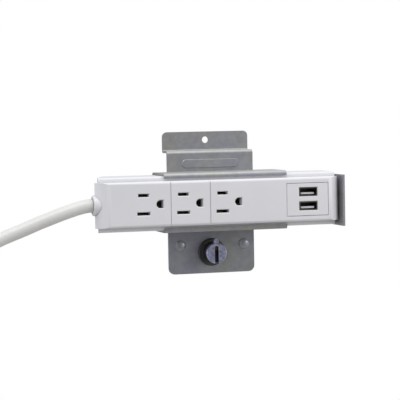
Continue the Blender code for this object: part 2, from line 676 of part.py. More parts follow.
def build_cover_screws(mats):
    """Pan-head screws from the back, with a cross recess made of two crossed cuts."""
    steel = mats["steel"]
    shank, head, tip, seat = 0.0015, 0.0030, -0.0320, HEAD_SEAT + GAP
    profile = [(0, tip), (shank / 2, tip), (shank, tip + 0.0015), (shank, seat), (head, seat),
               (head, seat + 0.0013), (head - 0.0006, seat + 0.0021), (0, seat + 0.0023)]
    arm, slim = 0.0018, 0.0005
    for number, (x, z) in enumerate(SCREWS, 1):
        screw = lathe(f"cover_screw_{number}", profile, "Y", (x, z), steel, 20)
        for across, down in ((arm, slim), (slim, arm)):
            cut(screw, box("screw_cross", (x - across, x + across), (seat + 0.0013, seat + 0.0037),
                           (z - down, z + down), steel))


# ---------------------------------------------------------------- outlets' contacts

def build_contacts(mats):
    """The insulating block behind the face and the three bus bars with their pairs of spring leaves."""
    dark, brass = mats["dark_insulator"], mats["contact_brass"]
    block = box("contact_block", BLOCK_X, (BLOCK_FRONT, BLOCK_BACK), (-BLOCK_HALF, BLOCK_HALF), dark)
    through = (COVER_FRONT - 0.004, BLOCK_BACK + 0.007)
    for x in OUTLET_X:
        for slot, z in ((HOT_SLOT, BLADE_HALF_PITCH), (NEUTRAL_SLOT, -BLADE_HALF_PITCH)):
            half = slot / 2 + 2 * GAP
            cut(block, box("pocket", (x - half, x + half), through,
                           (z - POCKET_HALF_HEIGHT, z + POCKET_HALF_HEIGHT), dark))
        cut(block, prism("earth_pocket", circle(x + EARTH_OFFSET, 0, EARTH_POCKET, 24), "Y", *through, dark))
    rows = (("hot_bus", BLADE_HALF_PITCH, 0.0, BLADE_SPREAD),
            ("neutral_bus", -BLADE_HALF_PITCH, 0.0, BLADE_SPREAD),
            ("earth_bus", 0.0, EARTH_OFFSET, EARTH_SPREAD))
    for name, z, offset, spread in rows:
        bus = box(name, (BLOCK_X[0], OUTLET_X[2] + offset + 0.004), (BUS_FRONT, BUS_BACK),
                  (z - BUS_HALF, z + BUS_HALF), brass)
        for x in OUTLET_X:
            for side in (-1, 1):
                low, high = sorted((z + side * spread, z + side * (spread - LEAF_THICK)))
                join(bus, box("leaf", (x + offset - LEAF_HALF, x + offset + LEAF_HALF),
                              (CONTACT_FRONT, BUS_FRONT + GAP), (low, high), brass))


def build_wires(mats):
    """Three conductors from the cut-back jacket to the ends of the bus bars."""
    ends = (("hot_wire", "wire_black", BLADE_HALF_PITCH, 0.0026), ("neutral_wire", "wire_white",
            -BLADE_HALF_PITCH, -0.0026), ("earth_wire", "wire_green", 0.0, 0.0))
    start_x, end_x = STUB_END + GAP, BLOCK_X[0] - 0.0004
    end_y = (BUS_FRONT + BUS_BACK) / 2
    for name, mat, z, start in ends:
        y = EXIT_Y + (0.0020 if start == 0 else -0.0010)
        halfway = ((start_x + end_x) / 2, (y + end_y) / 2, (start + z) / 2)
        route = ((start_x, y, start), (start_x + 0.0022, y, start), halfway,
                 (end_x - 0.0016, end_y, z), (end_x, end_y, z))
        tube(name, smooth_route(route, 0.0018), WIRE_RADIUS, mats[mat], 1)


def build_usb(mats):
    """The face plate with its two ports, their steel shells and tongues, and the charger board."""
    plastic, steel, light = mats["white_plastic"], mats["usb_shell_steel"], mats["usb_tongue"]
    left, right, half = USB_FACE
    face = box("usb_faceplate", (left, right), (COVER_FRONT + 0.0001, COVER_FRONT + WALL),
               (-half, half), plastic)
    half_width, half_height = (size / 2 for size in USB_SHELL)
    for name, z in (("upper", USB_Z + USB_HALF_PITCH), ("lower", USB_Z - USB_HALF_PITCH)):

        def port(grow):
            wide, high = half_width + grow, half_height + grow
            return rectangle(USB_X - wide, USB_X + wide, z - high, z + high)

        sections = ((COVER_FRONT - CHAMFER, port(GAP + 2 * CHAMFER)), (COVER_FRONT + CHAMFER, port(GAP)),
                    (COVER_FRONT + WALL + 0.002, port(GAP)))
        cut(face, loft("port", sections, "Y", plastic))
        shell = prism(f"usb_shell_{name}", port(0), "Y", COVER_FRONT + 0.0004, SHELL_BACK, steel)
        cut(shell, prism("shell_bore", port(-USB_WALL), "Y", COVER_FRONT - 0.009, SHELL_BACK + 0.006, steel))
        wide, thick = TONGUE_HALF
        middle = z - TONGUE_DROP
        tongue = box(f"usb_tongue_{name}", (USB_X - wide, USB_X + wide), (COVER_FRONT + TONGUE_INSET, -0.0290),
                     (middle - thick, middle + thick), light)
        wide, high = ROOT_HALF
        join(tongue, box("tongue_root", (USB_X - wide, USB_X + wide), (ROOT_FRONT, SHELL_BACK),
                         (z - high, z + high), light))
    box("usb_board", BOARD_X, BOARD_Y, (-BOARD_HALF, BOARD_HALF), mats["board_green"])
    build_transformer(mats["dark_insulator"])


def build_transformer(dark):
    outline = rounded(rectangle(*TRANSFORMER_X, -TRANSFORMER_HALF, TRANSFORMER_HALF), [0.0010] * 4, 3)
    prism("usb_transformer", outline, "Y", *TRANSFORMER_Y, dark)


# ---------------------------------------------------------------- cord and plug

def build_cord_entry(mats):
    """The collar held between tray and cover, the jacket's end inside, and the clamp over it."""
    jacket, plastic = mats["cord_jacket"], mats["white_plastic"]
    bore = CORD_RADIUS + GAP
    profile = [(bore, EXIT_X), (COLLAR_RADIUS - 0.0012, EXIT_X), (COLLAR_RADIUS - 0.0003, EXIT_X + 0.0004),
               (COLLAR_RADIUS, EXIT_X + 0.0012), (COLLAR_RADIUS, COLLAR_BACK), (bore, COLLAR_BACK)]
    collar = lathe("cord_grommet", profile, "X", (EXIT_Y, 0), plastic, 40)
    cut(collar, prism("collar_groove", groove_outline(), "X", *GROOVE_X, plastic))
    stub = [(0, EXIT_X), (CORD_RADIUS, EXIT_X), (CORD_RADIUS, STUB_END), (0, STUB_END)]
    lathe("cord_jacket_stub", stub, "X", (EXIT_Y, 0), jacket, 24)
    over, under = half_ring(CLAMP_OUTER), half_ring(CLAMP_INNER)
    outline = [(CLAMP_FOOT, CLAMP_OUTER), *over, (CLAMP_FOOT, -CLAMP_OUTER),
               (CLAMP_FOOT, -CLAMP_INNER), *reversed(under), (CLAMP_FOOT, CLAMP_INNER)]
    prism("cord_clamp", outline, "X", *CLAMP_X, mats["dark_insulator"])


def groove_outline(steps=24):
    """The collar's groove is only on the tray's side: a ring open towards the cover, as (y, z) points."""
    outer = COLLAR_RADIUS + 0.0020
    inner_end = math.acos((GROOVE_FRONT - EXIT_Y) / GROOVE_RADIUS)
    outer_end = math.acos((GROOVE_FRONT - EXIT_Y) / outer)
    inside = [(EXIT_Y + GROOVE_RADIUS * math.cos(a), GROOVE_RADIUS * math.sin(a))
              for a in (inner_end * (2 * k / steps - 1) for k in range(steps + 1))]
    outside = [(EXIT_Y + outer * math.cos(a), outer * math.sin(a))
               for a in (outer_end * (1 - 2 * k / steps) for k in range(steps + 1))]
    return inside + outside


def half_ring(radius, steps=16):
    """The user's side of a circle round the cord, as (y, z) points from top to bottom."""
    return [(EXIT_Y + radius * math.cos(a), radius * math.sin(a))
            for a in (math.radians(90 + 180 * k / steps) for k in range(steps + 1))]


def build_cord(mats):
    jacket = mats["cord_jacket"]
    tube("cord_lead", [LEAD_ROUTE[0]] + smooth_route(LEAD_ROUTE[1:], 0.010), CORD_RADIUS, jacket, 3)
    section = rounded(rectangle(COIL_INNER, COIL_OUTER, COIL_CENTRE.y - COIL_HALF_WIDTH,
                                COIL_CENTRE.y + COIL_HALF_WIDTH), [COIL_CORNER] * 4, 3)
    lathe("cord_coil", section, "Y", (COIL_CENTRE.x, COIL_CENTRE.z), jacket, 48)
    tail = [(TAIL_X, TAIL_Y, z) for z in (TAIL_TOP, TAIL_TOP - 0.006, PLUG_TOP + GAP)]
    tube("cord_tail", smooth_route(tail, 0.006), CORD_RADIUS, jacket, 3)
    build_tie(mats["tie_fabric"])


def build_tie(fabric):
    """A hook-and-loop strap round the coil's top."""
    low, high = COIL_CENTRE.z + COIL_INNER - TIE_CLEAR - 0.0004, COIL_CENTRE.z + COIL_OUTER + TIE_CLEAR
    near = COIL_CENTRE.y - COIL_HALF_WIDTH - TIE_CLEAR
    far = COIL_CENTRE.y + COIL_HALF_WIDTH + TIE_CLEAR
    outer = rounded(rectangle(near - TIE_THICK, far + TIE_THICK, low - TIE_THICK, high + TIE_THICK),
                    [0.0030] * 4, 4)
    inner = rounded(rectangle(near, far, low, high), [0.0020] * 4, 4)
    tie = prism("cord_tie", outer, "X", COIL_CENTRE.x - TIE_HALF, COIL_CENTRE.x + TIE_HALF, fabric)
    cut(tie, prism("tie_hollow", inner, "X", COIL_CENTRE.x - 0.010, COIL_CENTRE.x + 0.010, fabric))


def build_plug(mats):
    """A moulded three-pin plug that hangs below the coil, pins down."""
    jacket, nickel = mats["cord_jacket"], mats["blade_nickel"]
    relief = [(0, PLUG_TOP), (0.0056, PLUG_TOP), (0.0066, PLUG_TOP - 0.010), (0.0086, RELIEF_END),
              (0, RELIEF_END)]
    body = lathe("plug_body", relief, "Z", (TAIL_X, TAIL_Y), jacket, 32)
    wide, deep = WAIST_HALF
    waist = rounded(rectangle(TAIL_X - wide, TAIL_X + wide, TAIL_Y - deep, TAIL_Y + deep), [WAIST_CORNER] * 4)
    near, far = FACE_Y
    face = rounded(rectangle(TAIL_X - FACE_X, TAIL_X + FACE_X, TAIL_Y + near, TAIL_Y + far), [FACE_CORNER] * 4)
    sections = ((PLUG_FACE, face), (PLUG_FACE + 0.0080, face), (RELIEF_END + 0.0040, waist))
    join(body, loft("plug_waist", sections, "Z", jacket))

    def blade(half_size, x):
        wide, deep = half_size
        y = TAIL_Y + BLADE_Y
        return rectangle(x - wide, x + wide, y - deep, y + deep)

    end = PLUG_FACE - BLADE_LENGTH
    for name, side in (("plug_blade_hot", -1), ("plug_blade_neutral", 1)):
        x = TAIL_X + side * BLADE_HALF_PITCH
        loft(name, ((end, blade(BLADE_TIP_HALF, x)), (end + BLADE_BEVEL, blade(BLADE_HALF, x)),
                    (PLUG_FACE - GAP, blade(BLADE_HALF, x))), "Z", nickel)
    seat, tip = PLUG_FACE - GAP, PLUG_FACE - PIN_LENGTH
    pin = [(0, seat), (PIN_RADIUS, seat), (PIN_RADIUS, tip + 0.0025), (PIN_RADIUS - 0.0007, tip + 0.0007),
           (0, tip)]
    lathe("plug_pin_earth", pin, "Z", (TAIL_X, TAIL_Y + PIN_Y), nickel, 20)


def main():
    clear_scene()
    mats = make_materials()
    build_bracket(mats)
    build_cradle(mats)
    build_rivets(mats)
    build_cam_lock(mats)
    build_tray(mats)
    build_cover(mats)
    build_cover_screws(mats)
    build_contacts(mats)
    build_wires(mats)
    build_usb(mats)
    build_cord_entry(mats)
    build_cord(mats)
    build_plug(mats)


main()
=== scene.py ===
"""The power strip's looks: materials, fine shapes, its cord, a studio and the camera."""
import json
import math

import bmesh
import bpy
from mathutils import Matrix, Vector


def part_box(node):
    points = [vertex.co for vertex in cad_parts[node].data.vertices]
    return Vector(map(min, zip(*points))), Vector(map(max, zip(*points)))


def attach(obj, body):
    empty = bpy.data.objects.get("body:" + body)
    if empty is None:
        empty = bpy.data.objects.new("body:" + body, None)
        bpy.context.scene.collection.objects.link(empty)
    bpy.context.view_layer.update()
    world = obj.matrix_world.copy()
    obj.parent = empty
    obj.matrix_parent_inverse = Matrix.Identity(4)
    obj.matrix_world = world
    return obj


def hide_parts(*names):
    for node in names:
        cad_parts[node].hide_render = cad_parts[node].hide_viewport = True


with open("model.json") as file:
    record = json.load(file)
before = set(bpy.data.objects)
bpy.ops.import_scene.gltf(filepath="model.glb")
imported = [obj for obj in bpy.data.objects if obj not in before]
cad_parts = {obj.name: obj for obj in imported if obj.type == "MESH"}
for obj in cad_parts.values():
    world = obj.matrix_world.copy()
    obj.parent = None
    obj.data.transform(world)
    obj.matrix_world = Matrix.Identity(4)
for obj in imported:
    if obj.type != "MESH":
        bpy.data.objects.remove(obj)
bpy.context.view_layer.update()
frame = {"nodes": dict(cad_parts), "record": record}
NODES = frame["nodes"]

# ---------------------------------------------------------------- camera

YAW, PITCH, ROLL = math.radians(16.32), math.radians(3.03), math.radians(1.06)
CAMERA_AT = Vector((-0.33237, -1.10878, 0.06093))
LENS = 144.1


def make_camera():
    """A camera at CAMERA_AT that looks along YAW and PITCH, turned by ROLL."""
    ahead = Vector((math.sin(YAW) * math.cos(PITCH), math.cos(YAW) * math.cos(PITCH), -math.sin(PITCH)))
    right = Vector((math.cos(YAW), -math.sin(YAW), 0.0))
    up = right.cross(ahead)
    across = right * math.cos(ROLL) - up * math.sin(ROLL)
    upward = right * math.sin(ROLL) + up * math.cos(ROLL)
    data = bpy.data.cameras.new("camera")
    data.lens, data.sensor_width = LENS, 36.0
    data.clip_start, data.clip_end = 0.05, 20.0
    camera = bpy.data.objects.new("camera", data)
    bpy.context.scene.collection.objects.link(camera)
    axes = Matrix((across, upward, -ahead)).transposed()
    camera.matrix_world = Matrix.Translation(CAMERA_AT) @ axes.to_4x4()
    bpy.context.scene.camera = camera


make_camera()

# ---------------------------------------------------------------- materials

PAINT_OLIVE, PAINT_GREY, PAINT_BLUE = (0.385, 0.388, 0.365), (0.385, 0.389, 0.408), (0.375, 0.380, 0.440)
WHITE_LIGHT, WHITE_DARK = (0.700, 0.702, 0.735), (0.675, 0.678, 0.712)
NO_TINT = (1.0, 1.0, 1.0)
SLOT_FOOT, SLOT_HEAD = -0.0455, -0.0330    # z of the knob's coin slot
TONGUE_TIP, TONGUE_ROOT = -0.0388, -0.0370    # y of the USB tongues' shading


class Shader:
    """A small helper that builds one node material."""

    def __init__(self, name, **constants):
        self.material = bpy.data.materials.new(name)
        self.material.use_nodes = True
        self.tree = self.material.node_tree
        self.shader = self.tree.nodes["Principled BSDF"]
        for socket, value in constants.items():
            self.shader.inputs[socket.replace("_", " ")].default_value = value

    def node(self, kind, **settings):
        made = self.tree.nodes.new("ShaderNode" + kind)
        for key, value in settings.items():
            setattr(made, key, value)
        return made

    def link(self, source, target):
        self.tree.links.new(source, target)

    def coords(self, stretch=(1, 1, 1)):
        where = self.node("TexCoord")
        if stretch == (1, 1, 1):
            return where.outputs["Object"]
        scaled = self.node("Mapping")
        scaled.inputs["Scale"].default_value = stretch
        self.link(where.outputs["Object"], scaled.inputs["Vector"])
        return scaled.outputs["Vector"]

    def noise(self, scale, detail=3.0, rough=0.5, stretch=(1, 1, 1)):
        made = self.node("TexNoise")
        made.inputs["Scale"].default_value = scale
        made.inputs["Detail"].default_value = detail
        made.inputs["Roughness"].default_value = rough
        self.link(self.coords(stretch), made.inputs["Vector"])
        return made.outputs["Fac"]

    def ramp(self, source, stops):
        made = self.node("ValToRGB")
        ramp = made.color_ramp
        while len(ramp.elements) < len(stops):
            ramp.elements.new(0.5)
        for element, (position, colour) in zip(ramp.elements, stops):
            element.position = position
            element.color = (*colour, 1.0)
        self.link(source, made.inputs["Fac"])
        return made.outputs["Color"]

    def multiply(self, first, second):
        made = self.node("Mix", data_type="RGBA", blend_type="MULTIPLY")
        made.inputs["Factor"].default_value = 1.0
        self.link(first, made.inputs["A"])
        self.link(second, made.inputs["B"])
        return made.outputs["Result"]

    def upward(self, start, end):
        """0 to 1 as the surface turns to face up."""
        split = self.node("SeparateXYZ")
        self.link(self.node("NewGeometry").outputs["Normal"], split.inputs["Vector"])
        made = self.node("MapRange")
        made.inputs["From Min"].default_value = start
        made.inputs["From Max"].default_value = end
        self.link(split.outputs["Z"], made.inputs["Value"])
        return made.outputs["Result"]

    def mix(self, first, second, amount):
        made = self.node("Mix", data_type="RGBA")
        self.link(amount, made.inputs["Factor"])
        self.link(first, made.inputs["A"])
        self.link(second, made.inputs["B"])
        return made.outputs["Result"]

    def along(self, axis, start, end):
        """0 at start and 1 at end, measured along an axis of the row frame."""
        split = self.node("SeparateXYZ")
        self.link(self.coords(), split.inputs["Vector"])
        made = self.node("MapRange")
        made.inputs["From Min"].default_value = start
        made.inputs["From Max"].default_value = end
        self.link(split.outputs[axis], made.inputs["Value"])
        return made.outputs["Result"]

    def scalar(self, source, low, high):
        made = self.node("MapRange")
        made.inputs["To Min"].default_value = low
        made.inputs["To Max"].default_value = high
        self.link(source, made.inputs["Value"])
        return made.outputs["Result"]

    def colour(self, source):
        self.link(source, self.shader.inputs["Base Color"])

    def roughness(self, source, low, high):
        self.link(self.scalar(source, low, high), self.shader.inputs["Roughness"])

    def bump(self, source, height, strength=0.5, below=None):
        made = self.node("Bump")
        made.inputs["Strength"].default_value = strength
        made.inputs["Distance"].default_value = height
        self.link(source, made.inputs["Height"])
        if below is not None:
            self.link(below, made.inputs["Normal"])
        self.link(made.outputs["Normal"], self.shader.inputs["Normal"])
        return made.outputs["Normal"]


def plastic(name, light, dark, rough=(0.30, 0.40), grain=0.00003, **constants):
    """Moulded plastic: a faint cloudiness, a fine spark-eroded grain and a slightly uneven gloss."""
    made = Shader(name, **constants)
    made.colour(made.ramp(made.noise(35.0, 4.0), ((0.35, dark), (0.65, light))))
    made.roughness(made.noise(60.0, 3.0), *rough)
    made.bump(made.noise(2600.0, 2.0, 0.6), grain, 0.35)
    return made.material


def paint():
    """Grey powder coat: olive and blue-grey clouds, fine mottling, a pearl fleck and orange peel.

    Faces and bends that look up are painted a lighter cream: a painted highlight for the light falling from
    above.
    """
    made = Shader("bracket_paint", Metallic=0.55, Coat_Weight=0.20, Coat_Roughness=0.30)
    clouds = made.ramp(made.noise(26.0, 2.0, 0.5),
                       ((0.34, PAINT_OLIVE), (0.46, PAINT_GREY), (0.62, PAINT_BLUE)))
    mottle = made.ramp(made.noise(210.0, 4.0, 0.65), ((0.30, (0.80, 0.80, 0.79)), (0.70, NO_TINT)))
    fleck = made.noise(3600.0, 2.0, 0.7)
    pearl = made.ramp(fleck, ((0.35, (0.84, 0.84, 0.84)), (0.75, NO_TINT)))
    coat = made.multiply(made.multiply(clouds, mottle), pearl)
    # painted highlight: a lighter cream mixed in wherever the surface faces up
    painted_top_highlight = made.ramp(made.noise(160.0, 3.0), ((0.3, (0.62, 0.62, 0.55)), (0.7, (0.74, 0.74, 0.67))))
    made.colour(made.mix(coat, painted_top_highlight, made.scalar(made.upward(0.10, 0.85), 0.0, 0.48)))
    made.roughness(made.noise(240.0, 3.0), 0.27, 0.42)
    peel = made.bump(made.noise(620.0, 2.0), 0.00007, 0.35)
    made.bump(fleck, 0.00002, 0.25, peel)
    return made.material


def cast_zinc():
    """Plated die-cast zinc: bluish, finely pitted, with a few bright scuffs."""
    made = Shader("zinc", Metallic=1.0)
    pits = made.noise(1500.0, 4.0, 0.75)
    tone = made.ramp(made.noise(420.0, 3.0, 0.6),
                     ((0.35, (0.31, 0.31, 0.45)), (0.55, (0.50, 0.52, 0.70)), (0.75, (0.72, 0.75, 0.86))))
    made.colour(made.multiply(tone, made.ramp(pits, ((0.30, (0.55, 0.54, 0.60)), (0.60, NO_TINT)))))
    made.roughness(pits, 0.40, 0.20)
    made.bump(pits, 0.00005, 0.6)
    return made.material


def slot_shade_lining():
    """Near-black bronze inside the coin slot: painted shade for the slot's depth, with a painted bluish
    reflection at its foot and a painted warm glint at its upper end.
    """
    made = Shader("slot_shade_lining", Metallic=0.8)
    # painted light along the slot: a bluish reflection at the foot, near-black shade, then a warm brass glint
    # at the upper end
    painted_shade_and_glints = made.ramp(made.along("Z", SLOT_FOOT, SLOT_HEAD),
                     ((0.0, (0.050, 0.055, 0.085)), (0.70, (0.022, 0.019, 0.017)),
                      (0.86, (0.20, 0.14, 0.045))))
    grime = made.ramp(made.noise(900.0, 4.0, 0.7), ((0.3, (0.55, 0.55, 0.55)), (0.7, NO_TINT)))
    made.colour(made.multiply(painted_shade_and_glints, grime))
    made.roughness(made.noise(700.0, 3.0), 0.40, 0.65)
    made.bump(made.noise(1400.0, 3.0), 0.00005, 0.5)
    return made.material


def tongue_plastic():
    """The pale USB tongue, painted darker towards its root: painted shade deep inside the shell."""
    made = Shader("usb_tongue", Coat_Weight=0.1)
    # painted shade: pale at the tip, darkening to near-black at the root inside the shell
    depth = made.along("Y", TONGUE_TIP, TONGUE_ROOT)
    tone = made.ramp(depth, ((0.0, (0.78, 0.80, 0.83)), (0.6, (0.10, 0.10, 0.10)),
                             (1.0, (0.012, 0.012, 0.012))))
    cloudy = made.ramp(made.noise(600.0, 3.0), ((0.3, (0.9, 0.9, 0.9)), (0.7, NO_TINT)))
    made.colour(made.multiply(tone, cloudy))
    made.roughness(made.noise(300.0, 3.0), 0.35, 0.48)
    made.bump(made.noise(2400.0, 2.0), 0.00003, 0.3)
    return made.material


def metal(name, light, dark, rough, stretch=(1, 1, 1), scale=900.0, bump=0.00002, **constants):
    """Bare or plated metal: drawn or turned marks, clouded colour, uneven gloss."""
    made = Shader(name, Metallic=1.0, **constants)
    marks = made.noise(scale, 4.0, 0.6, stretch)
    made.colour(made.ramp(made.noise(90.0, 3.0), ((0.3, dark), (0.7, light))))
    made.roughness(marks, *rough)
    made.bump(marks, bump, 0.3)
    return made.material


def jacket():
    """Soft satin cable jacket, faintly uneven from extrusion and handling."""
    made = Shader("cord_jacket", Coat_Weight=0.15, Coat_Roughness=0.35)
    made.colour(made.ramp(made.noise(45.0, 4.0),
                          ((0.30, (0.600, 0.597, 0.585)), (0.70, (0.665, 0.662, 0.650)))))
    made.roughness(made.noise(160.0, 3.0), 0.36, 0.48)
    slow = made.bump(made.noise(120.0, 2.0), 0.00008, 0.3)
    made.bump(made.noise(1500.0, 2.0), 0.00003, 0.3, slow)
    return made.material


def fabric():
    """Woven tape with a fine pile."""
    made = Shader("tie_fabric", Roughness=0.9, Sheen_Weight=0.3, Sheen_Roughness=0.5)
    weave = made.node("TexWave", wave_type="BANDS", bands_direction="DIAGONAL")
    weave.inputs["Scale"].default_value = 420.0
    weave.inputs["Distortion"].default_value = 2.5
    weave.inputs["Detail"].default_value = 3.0
    made.link(made.coords(), weave.inputs["Vector"])
    made.colour(made.ramp(weave.outputs["Fac"], ((0.2, (0.018, 0.018, 0.020)), (0.8, (0.060, 0.060, 0.066)))))
    below = made.bump(weave.outputs["Fac"], 0.0002, 0.7)
    made.bump(made.noise(2400.0, 3.0, 0.7), 0.0002, 0.5, below)
    return made.material


MATERIALS = {
    "bracket_paint": paint(),
    "zinc": cast_zinc(),
    "dark_zinc": metal("dark_zinc", (0.10, 0.10, 0.095), (0.060, 0.060, 0.062), (0.35, 0.50)),
    "steel": metal("steel", (0.60, 0.60, 0.60), (0.50, 0.50, 0.51), (0.25, 0.42)),
    "white_plastic": plastic("white_plastic", WHITE_LIGHT, WHITE_DARK, Coat_Weight=0.12, Coat_Roughness=0.2),
    "dark_insulator": plastic("dark_insulator", (0.150, 0.146, 0.150), (0.110, 0.107, 0.110), (0.45, 0.60)),
    # contact_brass: its low, darkened base colour is painted shade for the contacts deep in the outlet slots
    "contact_brass": metal("contact_brass", (0.230, 0.180, 0.110), (0.150, 0.115, 0.070), (0.35, 0.55)),
    # usb_shell_steel: its dark olive base colour is painted shade for the inside of the USB ports, tinted
    # olive as painted warm bounce light
    "usb_shell_steel": metal("usb_shell_steel", (0.200, 0.195, 0.150), (0.130, 0.128, 0.100), (0.34, 0.50),
                             (1, 8, 1)),
    "usb_tongue": tongue_plastic(),
    "board_green": plastic("board_green", (0.030, 0.130, 0.055), (0.020, 0.095, 0.040), (0.30, 0.45)),
    "cord_jacket": jacket(),
    "wire_black": plastic("wire_black", (0.016, 0.016, 0.017), (0.010, 0.010, 0.011), (0.35, 0.5)),
    "wire_white": plastic("wire_white", (0.74, 0.74, 0.72), (0.68, 0.68, 0.66), (0.35, 0.5)),
    "wire_green": plastic("wire_green", (0.030, 0.200, 0.060), (0.022, 0.150, 0.045), (0.35, 0.5)),
    "tie_fabric": fabric(),
    "blade_nickel": metal("blade_nickel", (0.74, 0.72, 0.66), (0.64, 0.62, 0.56), (0.18, 0.32), (1, 1, 8)),
}

# ---------------------------------------------------------------- the CAD's own pieces

SLOT_OF = {row["node"]: row["material_slot"] for row in frame["record"]["subparts"]}
BODY_OF = {node: body for body, members in frame["record"]["behaviour"]["bodies"].items() for node in members}
# How far the real edges of the visible pieces are rounded
EDGES = {"bracket_plate": 0.00028, "cradle_channel": 0.00032, "base_tray": 0.00030, "front_cover": 0.00020,
         "usb_faceplate": 0.00015, "cam_knob": 0.00022, "cam_bushing": 0.00025, "cam_lobe": 0.00020,
         "cam_screw": 0.00015, "cam_retaining_ring": 0.00015, "cam_spring_washer": 0.00010,
         "cord_grommet": 0.00025, "usb_shell_upper": 0.00006, "usb_shell_lower": 0.00006,
         "usb_tongue_upper": 0.00012, "usb_tongue_lower": 0.00012, "plug_blade_hot": 0.00012,
         "plug_blade_neutral": 0.00012, "plug_pin_earth": 0.00012}
EDGES.update({f"cradle_rivet_{n}": 0.00012 for n in range(1, 5)})
EDGES.update({f"cover_screw_{n}": 0.00012 for n in range(1, 5)})
SMOOTH_BELOW = math.radians(32)    # bends gentler than this are shaded smooth and not rounded
SHARP_ABOVE = math.radians(50)
WELD, COPLANAR = 0.000002, math.radians(0.5)


def add_piece(name, bm, body, slot, material=None):
    """Makes a smooth-shaded piece of a bmesh that is already in place in the row frame."""
    mesh = bpy.data.meshes.new(name)
    bm.to_mesh(mesh)
    bm.free()
    mesh.shade_smooth()
    mesh.set_sharp_from_angle(angle=SHARP_ABOVE)
    mesh.materials.append(material or MATERIALS[slot])
    piece = bpy.data.objects.new(name, mesh)
    bpy.context.scene.collection.objects.link(piece)
    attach(piece, body)
    return piece


def refine(node, width):
    """Replaces a CAD piece by a copy of it, welded, with its flat faces whole and its edges rounded."""
    bm = bmesh.new()
    bm.from_mesh(NODES[node].data)
    bmesh.ops.remove_doubles(bm, verts=bm.verts, dist=WELD)
    bmesh.ops.dissolve_limit(bm, angle_limit=COPLANAR, verts=bm.verts, edges=bm.edges)
    sharp = [edge for edge in bm.edges
             if len(edge.link_faces) == 2 and edge.calc_face_angle(0) > SMOOTH_BELOW]
    bmesh.ops.bevel(bm, geom=sharp, offset=width, segments=2, profile=0.5, affect="EDGES", clamp_overlap=True)
    piece = add_piece(node + "_finished", bm, BODY_OF[node], SLOT_OF[node])
    even = piece.modifiers.new("even", "WEIGHTED_NORMAL")
    even.keep_sharp = True
    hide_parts(node)
    return piece


for node, obj in NODES.items():
    obj.material_slots[0].material = MATERIALS[SLOT_OF[node]]
PIECES = {node: refine(node, width) for node, width in EDGES.items()}

# ---------------------------------------------------------------- cam knob's slot


def loft_rings(rings):
    """A bmesh skin through rings of points that have the same count, with both ends closed."""
    bm = bmesh.new()
    made = [[bm.verts.new(point) for point in ring] for ring in rings]
    count = len(rings[0])
    for first, second in zip(made, made[1:]):
        for i in range(count):
            bm.faces.new((first[i], first[(i + 1) % count], second[(i + 1) % count], second[i]))
    bm.faces.new(made[0])
    bm.faces.new(made[-1])
    bmesh.ops.recalc_face_normals(bm, faces=bm.faces)
    return bm


def make_slot_lining():
    """A thin dark channel, painted shade, that lines the knob's coin slot from the rim up into its rounded
    upper end.
    """
    low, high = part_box("cam_knob")
    face, across, rim = low.y, (low.x + high.x) / 2, low.z
    width, depth, wall, mouth = 0.00132, 0.00204, 0.00018, 0.00030
    corner, straight_top = 0.00098, rim + 0.0117

    def section(half, z):
        outline = ((-half, mouth), (-half, depth), (half, depth), (half, mouth), (half - wall, mouth),
                   (half - wall, depth - wall), (wall - half, depth - wall), (wall - half, mouth))
        return [(across + x, face + y, z) for x, y in outline]

    rings = [section(width, rim + 0.0006), section(width, straight_top)]
    for k in range(1, 4):
        rise = corner * math.sin(math.radians(25 * k))
        narrow = corner * (1 - math.cos(math.radians(25 * k)))
        rings.append(section(width - narrow, straight_top + rise - 0.00005))
    add_piece("coin_slot_lining", loft_rings(rings), "cam", "dark_zinc", slot_shade_lining())


make_slot_lining()

# ---------------------------------------------------------------- cord

CORD_DIAMETER = 0.0094
COIL_CENTRE = Vector((-0.2402, -0.0280, -0.0620))
PLUG_TOP = -0.1110
LEAD_ROUTE = (
    (-0.0946, -0.0315, 0.0000),
    (-0.0972, -0.0315, -0.0001),
    (-0.1035, -0.0315, -0.0013),
    (-0.1105, -0.0316, -0.0033),
    (-0.1180, -0.0318, -0.0057),
    (-0.1240, -0.0321, -0.0078),
    (-0.1310, -0.0324, -0.0102),
    (-0.1380, -0.0328, -0.0129),
    (-0.1455, -0.0332, -0.0157),
    (-0.1525, -0.0336, -0.0182),
    (-0.1590, -0.0341, -0.0207),
    (-0.1655, -0.0347, -0.0236),
    (-0.1712, -0.0353, -0.0275),
    (-0.1755, -0.0358, -0.0319),
    (-0.1790, -0.0363, -0.0368),
)
# Where each turn lies: (radius, offset along Y) and the travel angle at which it moves to the next place
LAYERS = ((0.0553, -0.0094), (0.0459, -0.0094), (0.0459, 0.0),
          (0.0459, 0.0094), (0.0553, 0.0094), (0.0553, 0.0))
MOVES = (330, 650, 1010, 1330, 1650)
MOVE_SPAN = 44
ENTRY, LEAVE = 10, 1800    # travel angles at which the cord joins and leaves the coil
COIL_STEP = 15
PLUG_X = COIL_CENTRE.x + LAYERS[-1][0]
TAIL_HEIGHTS = (-0.075, -0.088, -0.100, PLUG_TOP)


def layer_at(angle):
    """The coil's radius and offset at a travel angle in degrees, easing from layer to layer."""
    radius, offset = LAYERS[0]
    for move, here, after in zip(MOVES, LAYERS, LAYERS[1:]):
        t = min(1.0, max(0.0, (angle - move) / MOVE_SPAN + 0.5))
        ease = t * t * (3 - 2 * t)
        radius += (after[0] - here[0]) * ease
        offset += (after[1] - here[1]) * ease
    return radius, offset


def coil_points():
    """Points along the wound coil, 24 to a turn."""
    points = []
    for angle in range(ENTRY, LEAVE + 1, COIL_STEP):
        radius, offset = layer_at(angle)
        turn = math.radians(-angle)
        points.append(COIL_CENTRE + Vector((radius * math.cos(turn), offset, radius * math.sin(turn))))
    return points


